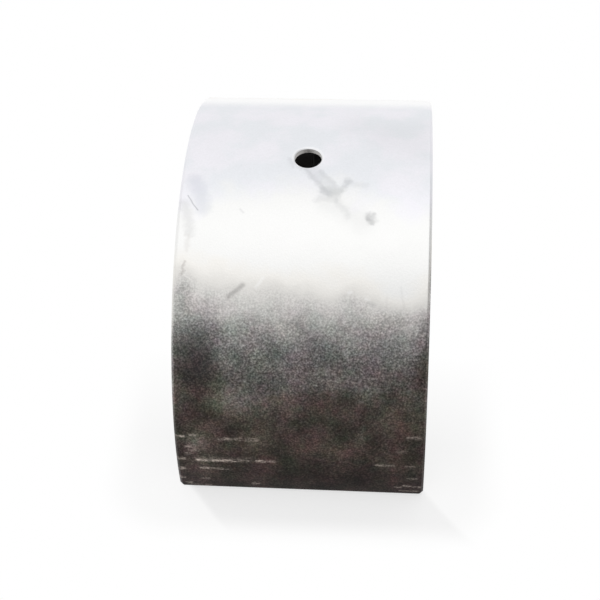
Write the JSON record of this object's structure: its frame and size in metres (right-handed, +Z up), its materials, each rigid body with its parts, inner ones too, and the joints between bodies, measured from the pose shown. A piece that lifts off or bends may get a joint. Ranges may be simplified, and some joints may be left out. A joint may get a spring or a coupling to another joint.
{
  "type": "engine bearing shell",
  "caption": "Half-round steel bearing shell with an oil hole through its crown, a full-length oil groove inside and a pressed locating lug on one parting edge, for a crankshaft main journal.",
  "frame": {"origin": "on the bearing's axis at mid width, on the parting plane that both parting faces lie in", "axes": "+X along the bearing's axis towards the end nearer the locating lug, +Y across the parting plane towards the lug, +Z up through the oil hole in the crown"},
  "size_m": [0.0414, 0.0811, 0.04],
  "materials": {
    "shell": "satin"
  },
  "bodies": {
    "root": {"bearing_shell": "shell"}
  },
  "joints": []
}
